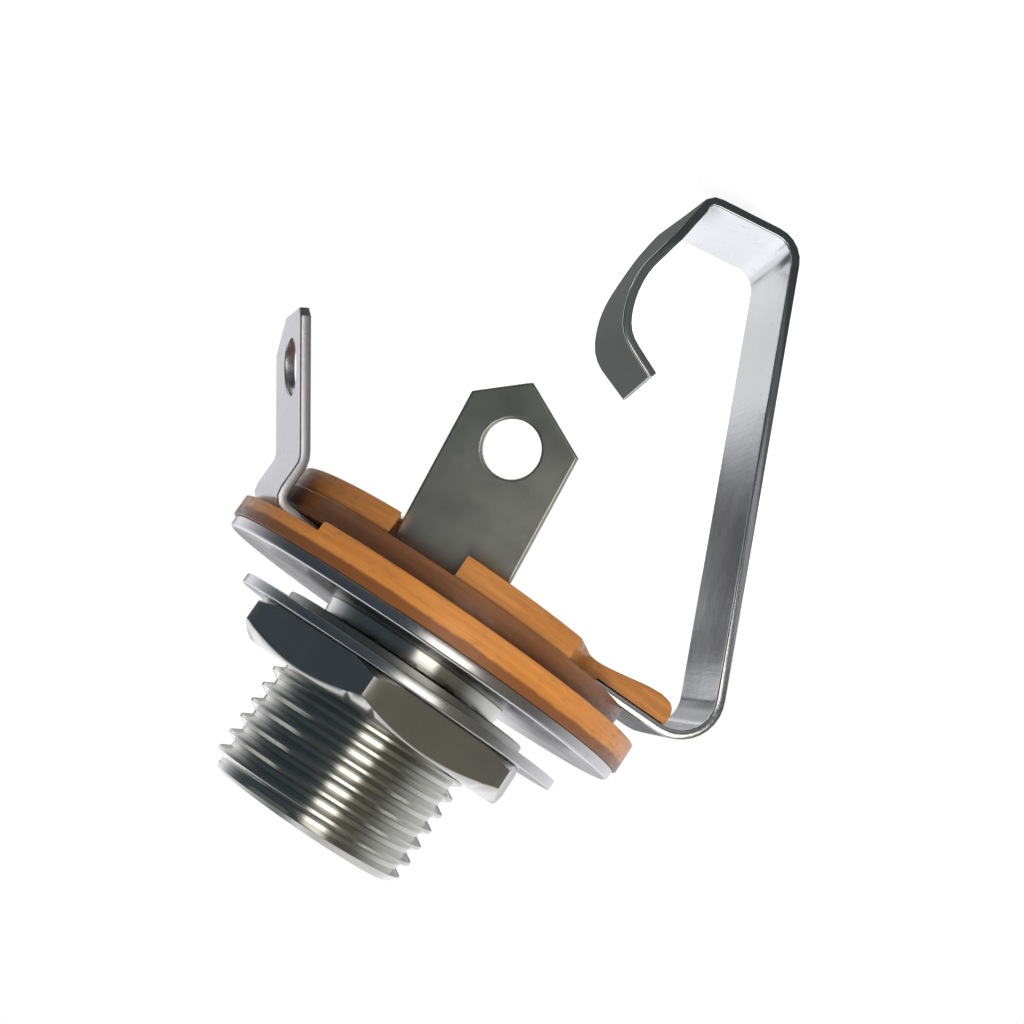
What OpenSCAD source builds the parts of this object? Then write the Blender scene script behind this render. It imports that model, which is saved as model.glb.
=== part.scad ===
// Mono chassis jack, quarter inch, open frame.
// Threaded bushing, front plate, three round insulators, two solder terminals,
// a long hooked tip spring, a lock washer, a flat washer and a hexagon nut.
//
// All lengths are in mm. Z is the axis of the plug. +Z is the way the plug leaves.
// z = 0 is the face of the front plate that sits against the panel.
// The insulators, terminals and tip spring lie below z = 0, the threaded barrel above it.
// The side that the photograph shows is -Y.

/* [Threaded barrel] */
// major diameter of the thread, three eighths of an inch
barrel_d = 9.525; // [9.5:0.005:9.6]
// length of the barrel in front of the panel face
barrel_len = 8.65; // [8.4:0.05:12]
// turns of thread in an inch
thread_tpi = 32; // [28:1:36]
// depth of the thread
thread_depth = 0.4; // [0.3:0.05:0.45]
// diameter of the plain neck between the plate and the thread
neck_d = 8.9; // [8.7:0.1:9.1]
// bevel round the mouth
mouth_bevel = 0.45; // [0.2:0.05:0.7]
// bore that guides the plug
bore_d = 6.45; // [6.4:0.01:6.5]
// countersink at the mouth of the bore, per side
bore_bevel = 0.4; // [0.2:0.05:0.5]
// tube behind the barrel that carries the stack
hub_d = 8.3; // [8.1:0.05:8.5]
// outer diameter of the turned-over rear rim
rim_d = 10.4; // [10:0.1:10.6]
// height of the turned-over rear rim
rim_t = 0.4; // [0.3:0.05:0.5]

/* [Front plate] */
// diameter of the metal front plate
plate_d = 19.5; // [18.8:0.1:19.7]
// thickness of the front plate
plate_t = 0.5; // [0.4:0.05:0.7]
// rounded front edge, as a bevel
plate_bevel = 0.15; // [0.05:0.05:0.25]

/* [Insulators] */
// diameter of the front insulator
front_ins_d = 19.8; // [19.8:0.1:20.4]
// thickness of the front insulator
front_ins_t = 1.35; // [1.2:0.05:1.6]
// diameter of the middle insulator
mid_ins_d = 17.4; // [17.2:0.1:18]
// thickness of the middle insulator
mid_ins_t = 1; // [0.9:0.05:1.2]
// diameter of the rear insulator
rear_ins_d = 17; // [16.8:0.1:17.2]
// thickness of the rear insulator
rear_ins_t = 1; // [0.9:0.05:1.1]
// outer diameter of the insulating tube on the hub
tube_d = 9.9; // [9.8:0.1:10]

/* [Solder terminals] */
// sheet thickness of both terminals
term_t = 0.45; // [0.35:0.05:0.5]
// outer diameter of the ring of a terminal
term_ring_d = 11.6; // [11.4:0.1:11.8]
// width of a solder lug
lug_w = 5; // [4.8:0.1:5.4]
// hole in a solder lug
lug_hole_d = 2.4; // [1.8:0.1:2.6]
// length of the tip lug above its bend, up to its shoulders
tip_len = 6.1; // [5:0.1:6.5]
// length of the ground lug above its bend, along its longer side
ground_len = 5.5; // [4.5:0.1:6]
// length of the point beyond the shoulders
lug_point = 1.55; // [1:0.05:2]
// how far the tip lug leans outwards, degrees
tip_lean = 13; // [5:1:20]
// how far the tip lug leans sideways, degrees
tip_skew = 4; // [0:0.5:5]
// how far the ground lug leans outwards, degrees
ground_lean = 35.5; // [20:0.5:40]
// direction of the tip terminal about Z, degrees
tip_az = -82; // [-84:1:-80]
// direction of the ground terminal about Z, degrees
ground_az = -17.5; // [-19:0.5:-16]

/* [Tip spring] */
// width of the spring strip
spring_w = 6.2; // [5.6:0.1:6.4]
// thickness of the spring strip
spring_t = 0.4; // [0.35:0.01:0.42]
// direction of the spring about Z, degrees
spring_az = 175.7; // [174:0.1:177]
// length of the sloping arm
arm_len = 19.3; // [18:0.1:20]

/* [Nut and washers] */
// width of the nut across its flats, half an inch
nut_af = 12.7; // [12:0.1:14]
// thickness of the nut
nut_t = 1.8; // [1.6:0.05:2.4]
// height of the nut's back face above the panel face
nut_z = 1.7; // [1.7:0.05:3]
// turn of the nut about Z, degrees
nut_turn = 7; // [0:1:59]
// diameter of the flat washer
washer_d = 15.9; // [15:0.1:17]
// thickness of the flat washer
washer_t = 0.45; // [0.4:0.05:0.5]
// outer diameter of the lock washer
lock_d = 12; // [11.6:0.1:12.4]
// thickness of the lock washer
lock_t = 0.4; // [0.3:0.05:0.4]

/* [Hidden] */
$fn = 96;

eps = 0.01;
// running gap between a hole and the tube or barrel in it
gap = 0.05;
// depths below the panel face, counted positive
d_front = plate_t;
d_mid = d_front + front_ins_t;
d_rear = d_mid + mid_ins_t;
d_top = d_rear + rear_ins_t;
// the ground ring lies flush in the back of the front insulator
d_ground = d_mid - term_t;
// the tip ring lies flush in the back of the middle insulator
d_tip = d_rear - term_t;
// the spring ring lies in the front of the rear insulator
d_spring = d_rear;
ring_hole_d = tube_d + 0.1;
// where the strip leaves its clamp and begins to flex
flex_r = 9.6;
// height of the middle of the strip at the clamp
flex_d = d_spring + spring_t / 2;
// washers rest against the back of the nut
washer_z = nut_z - washer_t - 0.02;
lock_z = washer_z - lock_t - 0.02;

// points along the middle of a bent strip: each step is [length, radius, turn in degrees],
// with radius 0 for a straight step; positive turns bend to the left of the way it runs
function arc_points(p, h, r, a, n) =
    [for (k = [1 : n])
        let (b = a * k / n, s = a > 0 ? 1 : -1)
        [p[0] + s * r * (sin(h + b) - sin(h)), p[1] - s * r * (cos(h + b) - cos(h)), h + b]];
function step_points(p, h, st) =
    st[1] == 0 ? [[p[0] + st[0] * cos(h), p[1] + st[0] * sin(h), h]]
               : arc_points(p, h, st[1], st[2], max(3, ceil(abs(st[2]) / 7)));
function walk(steps, p, h, i = 0) =
    i >= len(steps) ? [] :
    let (q = step_points(p, h, steps[i]), e = q[len(q) - 1])
    concat(q, walk(steps, [e[0], e[1]], e[2], i + 1));
function side(pts, o) = [for (q = pts) [q[0] - o * sin(q[2]), q[1] + o * cos(q[2])]];
function backwards(v) = [for (k = [len(v) - 1 : -1 : 0]) v[k]];

// a strip bent along the steps, in the plane of r and depth
module strip_shape(steps, p, h, t) {
    pts = concat([[p[0], p[1], h]], walk(steps, p, h));
    polygon(concat(side(pts, t / 2), backwards(side(pts, -t / 2))));
}

// turns a shape drawn with x outwards and y down the stack into a strip of a given width
module across(w, az) {
    rotate([0, 0, az])
        rotate([-90, 0, 0])
            translate([0, 0, -w / 2])
                linear_extrude(height = w)
                    children();
}

// a ring between two depths
module ring(d_out, d_in, depth, t) {
    translate([0, 0, -depth - t])
        difference() {
            cylinder(d = d_out, h = t);
            translate([0, 0, -1]) cylinder(d = d_in, h = t + 2);
        }
}

// a flat radial bar between two radii and two depths
module bar(az, r1, r2, w, depth, t) {
    rotate([0, 0, az])
        translate([r1, -w / 2, -depth - t])
            cube([r2 - r1, w, t]);
}

// thread of the barrel, as rings at its pitch: as many as fit between the neck and the mouth
pitch = 25.4 / thread_tpi;
thread_top = barrel_len - mouth_bevel;
neck_len = 1;
turns = floor((thread_top - neck_len) / pitch);
thread_z = thread_top - turns * pitch;
crest_r = barrel_d / 2;
root_r = crest_r - thread_depth;
// one groove, from the end of the crest at height z up to the start of the next one
function groove(z) = [
    [crest_r, z],
    [root_r, z + 0.3 * pitch],
    [root_r, z + 0.54 * pitch],
    [crest_r, z + 0.84 * pitch]
];
function grooves() = [for (k = [0 : turns - 1]) each groove(thread_z + k * pitch)];

module bushing() {
    color([0.72, 0.72, 0.70])
        rotate_extrude()
            polygon(concat([
                [bore_d / 2, -d_top - rim_t],
                [hub_d / 2, -d_top - rim_t],
                [rim_d / 2 - 0.2, -d_top - rim_t],
                [rim_d / 2, -d_top - rim_t + 0.15],
                [rim_d / 2, -d_top],
                [hub_d / 2, -d_top],
                [hub_d / 2, 0],
                [neck_d / 2, 0],
                [neck_d / 2, thread_z - 0.35],
                [crest_r, thread_z - 0.05]
            ], grooves(), [
                [crest_r, thread_top],
                [crest_r - mouth_bevel, barrel_len],
                [bore_d / 2 + bore_bevel, barrel_len],
                [bore_d / 2, barrel_len - bore_bevel]
            ]));
}

module front_plate() {
    color([0.74, 0.74, 0.74])
        rotate_extrude()
            polygon([
                [hub_d / 2 + gap, -plate_t],
                [plate_d / 2, -plate_t],
                [plate_d / 2, -plate_bevel],
                [plate_d / 2 - plate_bevel, 0],
                [hub_d / 2 + gap, 0]
            ]);
}

module front_insulator() {
    color([0.80, 0.47, 0.16])
        difference() {
            ring(front_ins_d, hub_d + 2 * gap, d_front, front_ins_t);
            // seat of the ground ring, which runs out to the rim at its full width
            translate([0, 0, -d_mid - 1])
                cylinder(d = term_ring_d + 0.1, h = term_t + 1);
            bar(ground_az, 0, front_ins_d, term_ring_d + 0.1, d_ground, term_t + 1);
        }
}

// a lug drawn upright from its foot at y = 0: end holds the points of its tip, from right to
// left, and skew is how far it leans to the left, degrees
module lug_plate(end, hole, skew) {
    lean = tan(skew);
    function leant(p) = [p[0] - p[1] * lean, p[1]];
    linear_extrude(height = term_t)
        difference() {
            polygon([for (p = concat([[-lug_w / 2, 0], [lug_w / 2, 0]], end)) leant(p)]);
            translate(leant(hole)) circle(d = lug_hole_d, $fn = 48);
        }
}

// foot radius of the ground lug, to the middle of its upright part
ground_r = 9.33;
ground_bend = 0.6;
ground_rise = 1.1;
// the ground lug is cut off aslant, from a blunt corner down to its shorter side
ground_end = [
    [lug_w / 2, ground_len - 0.35],
    [lug_w / 2 - 0.3, ground_len],
    [-0.4, ground_len - 0.25],
    [-lug_w / 2, ground_len - lug_point - 0.2]
];

module ground_terminal() {
    steps = [
        [ground_r - ground_bend - 5, 0, 0],
        [0, ground_bend, 90],
        [ground_rise, 0, 0],
        [0, 1, -ground_lean],
        [0.4, 0, 0]
    ];
    base = [5, d_ground + term_t / 2];
    pts = walk(steps, base, 0);
    last = pts[len(pts) - 1];
    color([0.70, 0.70, 0.71])
        union() {
            ring(term_ring_d, hub_d + 2 * gap, d_ground, term_t);
            across(lug_w, ground_az)
                strip_shape(steps, base, 0, term_t);
            rotate([0, 0, ground_az])
                translate([last[0], 0, -last[1]])
                    rotate([0, last[2], 0])
                        rotate([0, 0, -90])
                            translate([0, -eps, -term_t / 2])
                                lug_plate(ground_end, [0.5, ground_len - 2.35], 0);
        }
}

module middle_insulator() {
    color([0.62, 0.36, 0.14])
        difference() {
            ring(mid_ins_d, ring_hole_d, d_mid, mid_ins_t);
            // seat of the tip ring and the way out of its lug
            translate([0, 0, -d_rear - 1])
                cylinder(d = term_ring_d + 0.1, h = term_t + 1);
            bar(tip_az, 0, 7.1, lug_w + 0.1, d_tip, term_t + 1);
        }
}

// foot radius of the tip lug, to the middle of its upright part
tip_r = 6.75;
tip_bend = 0.6;
// the tip lug ends in a point that is off its middle
tip_end = [
    [lug_w / 2, tip_len],
    [-0.5, tip_len + lug_point],
    [-lug_w / 2, tip_len]
];

module tip_terminal() {
    steps = [
        [tip_r - tip_bend - 5, 0, 0],
        [0, tip_bend, 90 - tip_lean],
        [0.4, 0, 0]
    ];
    base = [5, d_tip + term_t / 2];
    pts = walk(steps, base, 0);
    last = pts[len(pts) - 1];
    color([0.36, 0.36, 0.34])
        union() {
            ring(term_ring_d, ring_hole_d, d_tip, term_t);
            across(lug_w, tip_az)
                strip_shape(steps, base, 0, term_t);
            rotate([0, 0, tip_az])
                translate([last[0], 0, -last[1]])
                    rotate([0, last[2], 0])
                        rotate([0, 0, -90])
                            translate([0, -eps, -term_t / 2])
                                lug_plate(tip_end, [0, tip_len - 1.1], tip_skew);
        }
}

module insulating_tube() {
    color([0.78, 0.62, 0.40])
        ring(tube_d, hub_d + 2 * gap, d_mid + 0.02, d_top - d_mid - 0.04);
}

module tip_spring_root() {
    color([0.74, 0.75, 0.77])
        difference() {
            union() {
                translate([0, 0, -d_spring - spring_t])
                    cylinder(d = 12, h = spring_t);
                bar(spring_az, 0, flex_r - 0.05, spring_w, d_spring, spring_t);
            }
            translate([0, 0, -d_spring - spring_t - 1])
                cylinder(d = ring_hole_d, h = spring_t + 2);
        }
}

// the part of the spring that moves: root bend, sloping arm, top, hook and contact
arm_steps = [
    [0.35, 0, 0],
    [0, 1.75, 113.6],
    [arm_len, 0, 0],
    [0, 1.3, 76],
    [3.05, 0, 0],
    [0, 0.6, 70.4],
    [0, 21, 10],
    [0, 5, 28],
    [0, 1.8, 40],
    [1.5, 0, 0]
];

module tip_spring_arm() {
    color([0.74, 0.75, 0.77])
        across(spring_w, spring_az)
            strip_shape(arm_steps, [flex_r + 0.05, flex_d], 0, spring_t);
}

// notch that opens the window of the tip lug to the rim
notch_x = 0.5;
notch_w = 3.1;

// height profile of the tongue that covers the root of the spring and swells at its end
tongue_w = spring_w - 0.1;
tongue_low = d_spring + spring_t + 0.05;
module tongue_profile() {
    polygon([
        [5.3, tongue_low],
        [10, tongue_low],
        [10.1, tongue_low + 0.15],
        [10.12, tongue_low + 0.5],
        [10.03, tongue_low + 0.76],
        [9.8, tongue_low + 0.95],
        [9.3, tongue_low + 1.02],
        [8.65, tongue_low + 0.97],
        [7.8, tongue_low + 0.81],
        [6.95, tongue_low + 0.66],
        [6.3, d_top + 0.03],
        [5.3, d_top]
    ]);
}

// outline of the rear insulator with its tongue along x: a shoulder is cut from either side of
// the disc, straight from its rim, and runs into the side of the tongue in a curve
shoulder_r = 1.6;
shoulder_x = 7.16;
shoulder_y = tongue_w / 2 + shoulder_r;
// the straight side of the cut, from well outside the rim to where the curve takes over
cut_start = [3.4, 10.4];
cut_end = [5.65, 4.1];
cut_far = 12;
module shoulder_cut() {
    polygon(concat(
        [cut_start, cut_end],
        [for (a = [205 : 13 : 270]) [shoulder_x + shoulder_r * cos(a), shoulder_y + shoulder_r * sin(a)]],
        [[cut_far, tongue_w / 2], [cut_far, cut_start[1]]]
    ));
}

module rear_outline() {
    difference() {
        circle(d = rear_ins_d);
        for (s = [0, 1])
            mirror([0, s])
                shoulder_cut();
    }
}

module rear_insulator() {
    color([0.80, 0.47, 0.16])
        difference() {
            union() {
                translate([0, 0, -d_top])
                    rotate([0, 0, spring_az])
                        linear_extrude(height = rear_ins_t)
                            rear_outline();
                across(tongue_w, spring_az)
                    tongue_profile();
            }
            // hole for the insulating tube
            translate([0, 0, -d_top - 1])
                cylinder(d = ring_hole_d, h = rear_ins_t + 2);
            // seat of the spring ring and the way out of the strip
            translate([0, 0, -d_rear - spring_t - 0.05])
                cylinder(d = 12.1, h = spring_t + 1);
            bar(spring_az, 0, 20, spring_w + 0.1, d_rear - 1, spring_t + 1.05);
            // window for the tip lug, open to the rim on one side
            bar(tip_az, 5.7, 7.45, lug_w + 0.2, d_rear - 1, rear_ins_t + 2);
            translate([notch_x, -12, -d_top - 1])
                cube([notch_w, 6.2, rear_ins_t + 2]);
        }
}

module lock_washer() {
    color([0.45, 0.46, 0.45])
        translate([0, 0, lock_z])
            difference() {
                cylinder(d = lock_d, h = lock_t);
                translate([0, 0, -1]) cylinder(d = barrel_d + 0.3, h = lock_t + 2);
                // gaps between the inner teeth
                for (k = [0 : 11])
                    rotate([0, 0, 30 * k])
                        translate([4, -0.6, -1])
                            cube([1.45, 1.2, lock_t + 2]);
            }
}

module flat_washer() {
    color([0.72, 0.72, 0.74])
        translate([0, 0, washer_z])
            difference() {
                cylinder(d = washer_d, h = washer_t);
                translate([0, 0, -1]) cylinder(d = barrel_d + 0.3, h = washer_t + 2);
            }
}

module hex_nut() {
    color([0.66, 0.66, 0.66])
        translate([0, 0, nut_z])
            difference() {
                intersection() {
                    rotate([0, 0, nut_turn - 90])
                        cylinder(d = nut_af / cos(30), h = nut_t, $fn = 6);
                    rotate_extrude()
                        polygon([
                            [0, 0],
                            [nut_af / 2 + 0.5, 0],
                            [nut_af / 2 + 1.1, 0.3],
                            [nut_af / 2 + 1.1, nut_t - 0.6],
                            [nut_af / 2 - 0.1, nut_t],
                            [0, nut_t]
                        ]);
                }
                rotate_extrude()
                    polygon([
                        [0, -1],
                        [barrel_d / 2 + 0.35, -1],
                        [barrel_d / 2 + 0.35, 0],
                        [barrel_d / 2 + gap, 0.3],
                        [barrel_d / 2 + gap, nut_t - 0.3],
                        [barrel_d / 2 + 0.35, nut_t],
                        [barrel_d / 2 + 0.35, nut_t + 1],
                        [0, nut_t + 1]
                    ]);
            }
}

bushing();
front_plate();
front_insulator();
ground_terminal();
middle_insulator();
tip_terminal();
insulating_tube();
tip_spring_root();
tip_spring_arm();
rear_insulator();
lock_washer();
flat_washer();
hex_nut();
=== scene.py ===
import math

import bmesh
import bpy
from mathutils import Matrix, Vector
from mathutils.geometry import delaunay_2d_cdt


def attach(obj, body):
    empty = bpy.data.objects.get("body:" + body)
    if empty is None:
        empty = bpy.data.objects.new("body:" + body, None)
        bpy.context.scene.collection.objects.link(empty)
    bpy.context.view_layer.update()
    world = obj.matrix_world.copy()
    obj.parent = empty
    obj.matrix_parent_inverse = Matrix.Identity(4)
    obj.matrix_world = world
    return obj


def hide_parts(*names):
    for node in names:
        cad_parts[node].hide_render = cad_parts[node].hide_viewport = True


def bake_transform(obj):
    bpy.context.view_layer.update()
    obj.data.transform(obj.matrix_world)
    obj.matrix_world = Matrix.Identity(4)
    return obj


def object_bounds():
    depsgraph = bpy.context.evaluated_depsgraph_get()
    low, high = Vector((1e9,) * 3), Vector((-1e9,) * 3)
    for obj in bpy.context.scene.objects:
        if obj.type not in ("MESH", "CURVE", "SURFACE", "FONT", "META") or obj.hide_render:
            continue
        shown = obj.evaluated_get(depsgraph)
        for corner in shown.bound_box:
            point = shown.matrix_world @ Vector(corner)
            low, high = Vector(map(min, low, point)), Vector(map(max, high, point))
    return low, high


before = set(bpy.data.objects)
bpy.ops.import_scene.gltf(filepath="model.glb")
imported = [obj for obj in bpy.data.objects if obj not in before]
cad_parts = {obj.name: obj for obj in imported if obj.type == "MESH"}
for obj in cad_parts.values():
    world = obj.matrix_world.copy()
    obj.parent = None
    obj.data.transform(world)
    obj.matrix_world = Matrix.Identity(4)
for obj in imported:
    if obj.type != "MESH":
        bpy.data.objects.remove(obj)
cad_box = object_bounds()

MM = 0.001
TAU = 2 * math.pi
rad = math.radians

# sizes in millimetres and angles in degrees, as in the solids
BARREL_R = 4.7625
BARREL_LEN = 8.65
THREAD_DEPTH = 0.4
PITCH = 25.4 / 32
NECK_R = 4.45
BORE_R = 3.225
HUB_R = 4.15
RIM_R = 5.2
RIM_T = 0.4
PLATE_R = 9.75
PLATE_T = 0.5
FRONT_R = 9.9
FRONT_T = 1.35
MID_R = 8.7
MID_T = 1.0
REAR_R = 8.5
REAR_T = 1.0
TUBE_R = 4.95
TERM_T = 0.45
TERM_RING_R = 5.8
LUG_W = 5.0
LUG_HOLE_R = 1.2
LUG_BEND_R = 0.6
TIP_LEN = 6.1
GROUND_LEN = 5.5
LUG_POINT = 1.55
TIP_LEAN = 13.0
TIP_SKEW = 4.0
GROUND_LEAN = 35.5
TIP_AZ = -82.0
GROUND_AZ = -17.5
TIP_FOOT_R = 6.75
GROUND_FOOT_R = 9.33
SPRING_W = 6.2
SPRING_T = 0.4
SPRING_RING_R = 6.0
SPRING_AZ = 175.7
ARM_LEN = 19.3
NUT_AF = 12.7
NUT_T = 1.8
NUT_Z = 1.7
NUT_TURN = 7.0
WASHER_R = 7.95
WASHER_T = 0.45
WASHER_HOLE_R = 4.9125
LOCK_R = 6.0
LOCK_T = 0.4
LOCK_TEETH = 12
# gap round a piece in its seat, and the gap between the loose pieces
FIT = 0.05
LOOSE = 0.02
# radius at which the middle line of every bent strip starts
STRIP_START = 5.0

# depths are counted down from the panel face, and heights up from it
D_FRONT = PLATE_T
D_MID = D_FRONT + FRONT_T
D_REAR = D_MID + MID_T
D_TOP = D_REAR + REAR_T
D_GROUND = D_MID - TERM_T
D_TIP = D_REAR - TERM_T
D_SPRING = D_REAR
WASHER_Z = NUT_Z - WASHER_T - LOOSE
LOCK_Z = WASHER_Z - LOCK_T - LOOSE

# in metres: points of a mesh that are closer than these become one
WELD = 2e-6
THREAD_WELD = 2e-7
FINE_WELD = 3e-7
SLIVER = 1e-7

# the camera that fits the photo: lengths in mm, the focal length and the photo's width in pixels
SENSOR = 36.0
FOCAL_PIXELS = 1656.0
PHOTO_PIXELS = 1024.0
CAMERA_AT = (0.0, -72.0, 3.59)
CAMERA_RIGHT = (-0.8264, -0.0849, -0.5567)
CAMERA_FORWARD = (0.0009, 0.9884, -0.1521)


def make_camera():
    cam = bpy.data.cameras.new("photo_camera")
    cam.sensor_width = SENSOR
    cam.lens = SENSOR * FOCAL_PIXELS / PHOTO_PIXELS
    cam.clip_start = 0.001
    cam.clip_end = 10.0
    ob = bpy.data.objects.new("photo_camera", cam)
    bpy.context.scene.collection.objects.link(ob)
    back = -Vector(CAMERA_FORWARD).normalized()
    up = back.cross(Vector(CAMERA_RIGHT).normalized()).normalized()
    right = up.cross(back).normalized()
    place = Matrix((right, up, back)).transposed().to_4x4()
    place.translation = Vector(CAMERA_AT) * MM
    ob.matrix_world = place
    bpy.context.scene.camera = ob


make_camera()


# node trees
class Nodes:
    """Short way to build a material's node tree."""

    def __init__(self, name):
        self.mat = bpy.data.materials.new(name)
        self.mat.use_nodes = True
        self.tree = self.mat.node_tree
        self.tree.nodes.clear()
        self.out = self.tree.nodes.new("ShaderNodeOutputMaterial")

    def node(self, kind, **settings):
        n = self.tree.nodes.new("ShaderNode" + kind)
        for key, value in settings.items():
            setattr(n, key, value)
        return n

    def link(self, a, b):
        self.tree.links.new(a, b)

    def value(self, socket, value):
        """Feeds a socket from another node, a colour or a number."""
        if hasattr(value, "is_output"):
            self.link(value, socket)
        elif isinstance(value, tuple) and len(value) == 3:
            socket.default_value = (*value, 1.0)
        else:
            socket.default_value = value

    def math(self, op, a, b=0.0, c=None):
        n = self.node("Math", operation=op)
        self.value(n.inputs[0], a)
        self.value(n.inputs[1], b)
        if c is not None:
            self.value(n.inputs[2], c)
        return n.outputs[0]

    def degrees(self, opposite, adjacent):
        """The angle whose tangent is opposite over adjacent."""
        return self.math("MULTIPLY", self.math("ARCTAN2", opposite, adjacent), 180 / math.pi)

    def coords(self):
        return self.node("TexCoord").outputs["Object"]

    def split(self, vector):
        n = self.node("SeparateXYZ")
        self.link(vector, n.inputs[0])
        return n.outputs[0], n.outputs[1], n.outputs[2]

    def join(self, x, y, z):
        n = self.node("CombineXYZ")
        for socket, value in zip(n.inputs, (x, y, z)):
            self.value(socket, value)
        return n.outputs[0]

    def scaled(self, vector, x, y, z):
        n = self.node("Mapping")
        self.link(vector, n.inputs["Vector"])
        n.inputs["Scale"].default_value = (x, y, z)
        return n.outputs[0]

    def noise(self, vector, scale, detail, rough):
        n = self.node("TexNoise")
        self.link(vector, n.inputs["Vector"])
        n.inputs["Scale"].default_value = scale
        n.inputs["Detail"].default_value = detail
        n.inputs["Roughness"].default_value = rough
        return n.outputs["Fac"]

    def ramp(self, fac, stops):
        n = self.node("ValToRGB")
        while len(n.color_ramp.elements) < len(stops):
            n.color_ramp.elements.new(0.5)
        for e, (pos, colour) in zip(n.color_ramp.elements, stops):
            e.position = pos
            e.color = (*colour, 1.0)
        self.link(fac, n.inputs[0])
        return n.outputs[0]

    def mix(self, fac, a, b, blend="MIX"):
        n = self.node("Mix", data_type="RGBA", blend_type=blend)
        self.value(n.inputs["Factor"], fac)
        self.value(n.inputs[6], a)
        self.value(n.inputs[7], b)
        return n.outputs[2]

    def range(self, v, lo, hi, a, b):
        """a where v is lo or less, b where it is hi or more, and even steps between."""
        n = self.node("MapRange")
        self.link(v, n.inputs["Value"])
        for key, val in (("From Min", lo), ("From Max", hi), ("To Min", a), ("To Max", b)):
            n.inputs[key].default_value = val
        return n.outputs[0]

    def zone(self, *spans):
        """1 inside all the spans and 0 outside. A span is (value, rise, fall), where rise and fall are
        the values at which that soft edge starts and ends, or None where there is no such edge."""
        product = None
        for value, rise, fall in spans:
            for edge, a, b in ((rise, 0.0, 1.0), (fall, 1.0, 0.0)):
                if edge:
                    step = self.range(value, *edge, a, b)
                    product = step if product is None else self.math("MULTIPLY", product, step)
        return product

    def bump(self, height, strength, distance):
        n = self.node("Bump")
        n.inputs["Strength"].default_value = strength
        n.inputs["Distance"].default_value = distance
        self.link(height, n.inputs["Height"])
        return n.outputs[0]

    def surface(self, colour, rough, metallic, normal, coat=0.0):
        b = self.node("BsdfPrincipled")
        self.value(b.inputs["Base Color"], colour)
        self.value(b.inputs["Roughness"], rough)
        b.inputs["Metallic"].default_value = metallic
        b.inputs["Coat Weight"].default_value = coat
        b.inputs["Coat Roughness"].default_value = 0.25
        self.link(normal, b.inputs["Normal"])
        self.link(b.outputs[0], self.out.inputs[0])

    def glow(self, colour, strength=1.0):
        e = self.node("Emission")
        self.value(e.inputs["Color"], colour)
        self.value(e.inputs["Strength"], strength)
        return e.outputs[0]


# materials; the scales of the noise are in features per metre
def plated(name, colour, rough, spots=0.18, scratch=0.4, mottle=0.06):
    """Plated metal with faint stains, dark specks, fine scratches and a slightly uneven surface."""
    n = Nodes(name)
    pos = n.coords()
    broad = n.noise(pos, 260.0, 4.0, 0.55)
    fine = n.noise(pos, 2600.0, 3.0, 0.6)
    hair = n.noise(n.scaled(pos, 400.0, 400.0, 6000.0), 1.0, 2.0, 0.5)
    tint = n.range(broad, 0.3, 0.7, 1.0 - mottle, 1.0 + mottle * 0.4)
    specks = n.range(fine, 0.62, 0.74, 1.0, 1.0 - spots)
    shade = n.math("MULTIPLY", tint, specks)
    base = n.mix(1.0, colour, n.join(shade, shade, shade), "MULTIPLY")
    uneven = n.math("MULTIPLY_ADD", broad, rough * 0.9, rough * 0.55)
    uneven = n.math("MULTIPLY_ADD", fine, rough * 0.4, uneven)
    height = n.math("MULTIPLY_ADD", hair, 0.4 * scratch, broad)
    n.surface(base, uneven, 1.0, n.bump(height, 0.25, 0.00004))
    return n.mat


def phenolic(name, face, edge, dark, shade_band=None):
    """Punched paper-phenolic sheet: fibre streaks along the sheet and a slight gloss. shade_band is a
    painted shade: a darker band round the edge, as its top and bottom depth in mm, its colour and how full
    it is."""
    n = Nodes(name)
    pos = n.coords()
    z = n.split(pos)[2]
    layers = n.noise(n.scaled(pos, 260.0, 260.0, 5200.0), 1.0, 4.0, 0.6)
    fibre = n.noise(n.scaled(pos, 1500.0, 1500.0, 5200.0), 1.0, 3.0, 0.6)
    blotch = n.noise(pos, 420.0, 3.0, 0.5)
    colour = n.mix(n.range(layers, 0.35, 0.68, 0.0, 0.75), edge, face)
    colour = n.mix(n.range(fibre, 0.55, 0.75, 0.0, 0.35), colour, dark)
    colour = n.mix(n.range(blotch, 0.42, 0.7, 0.0, 0.3), colour, edge)
    # painted shade: a darker band with a ragged border round the edge between two depths
    if shade_band:
        top, bottom, tint, amount = shade_band
        shade_edge_noise = n.noise(n.scaled(pos, 900.0, 900.0, 300.0), 1.0, 3.0, 0.6)
        ragged = n.math("MULTIPLY_ADD", shade_edge_noise, 0.24 * MM, -0.12 * MM)
        depth = n.math("SUBTRACT", n.math("MULTIPLY", z, -1.0), ragged)
        rise = ((top - 0.05) * MM, (top + 0.05) * MM)
        fall = ((bottom - 0.06) * MM, (bottom + 0.06) * MM)
        colour = n.mix(n.math("MULTIPLY", n.zone((depth, rise, fall)), amount), colour, tint)
    height = n.math("MULTIPLY_ADD", layers, 0.6, n.math("MULTIPLY", fibre, 0.4))
    rough = n.range(fibre, 0.3, 0.7, 0.3, 0.52)
    n.surface(colour, rough, 0.0, n.bump(height, 0.35, 0.00005), coat=0.25)
    return n.mat


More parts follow.
